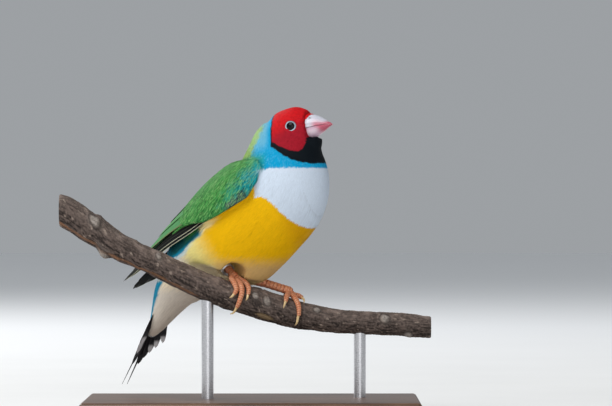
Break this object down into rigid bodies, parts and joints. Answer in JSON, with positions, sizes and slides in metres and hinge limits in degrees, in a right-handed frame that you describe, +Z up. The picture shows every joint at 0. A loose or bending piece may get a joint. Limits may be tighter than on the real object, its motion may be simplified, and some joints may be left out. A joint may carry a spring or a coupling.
{
  "type": "gouldian finch museum model",
  "caption": "Life-size gouldian finch perched on a cut length of branch, with a band on one leg, held by a flat base and short rods.",
  "frame": {"origin": "middle of the underside of the display stand's base", "axes": "+Z up; +X along the branch, which the bird faces with its body turned 32 degrees towards -Y; +Y away from the viewer of the picture"},
  "size_m": [0.1369, 0.078, 0.1157],
  "materials": {
    "red_feathers": "soft feather nap",
    "blue_feathers": "soft feather nap",
    "breast_feathers": "soft feather nap",
    "rump_feathers": "soft feather nap",
    "wing_feathers": "smooth vanes, slight sheen",
    "tail_feathers": "smooth vanes, slight sheen",
    "bill": "satin horn",
    "eye": "wet gloss",
    "leg_skin": "fine scales, satin",
    "band": "satin",
    "bark": "rough bark",
    "stand_wood": "satin varnish",
    "stand_metal": "brushed"
  },
  "bodies": {
    "root": {"head": "red_feathers", "neck": "blue_feathers", "torso": "breast_feathers", "rump": "rump_feathers", "tail": "tail_feathers", "wing_left": "wing_feathers", "wing_right": "wing_feathers", "bill_upper": "bill", "bill_lower": "bill", "eye_left": "eye", "eye_right": "eye", "leg_left": "leg_skin", "leg_right": "leg_skin", "foot_left": "leg_skin", "foot_right": "leg_skin", "leg_band": "band", "perch": "bark", "stand_base": "stand_wood", "stand_rod_1": "stand_metal", "stand_rod_2": "stand_metal"}
  },
  "joints": []
}
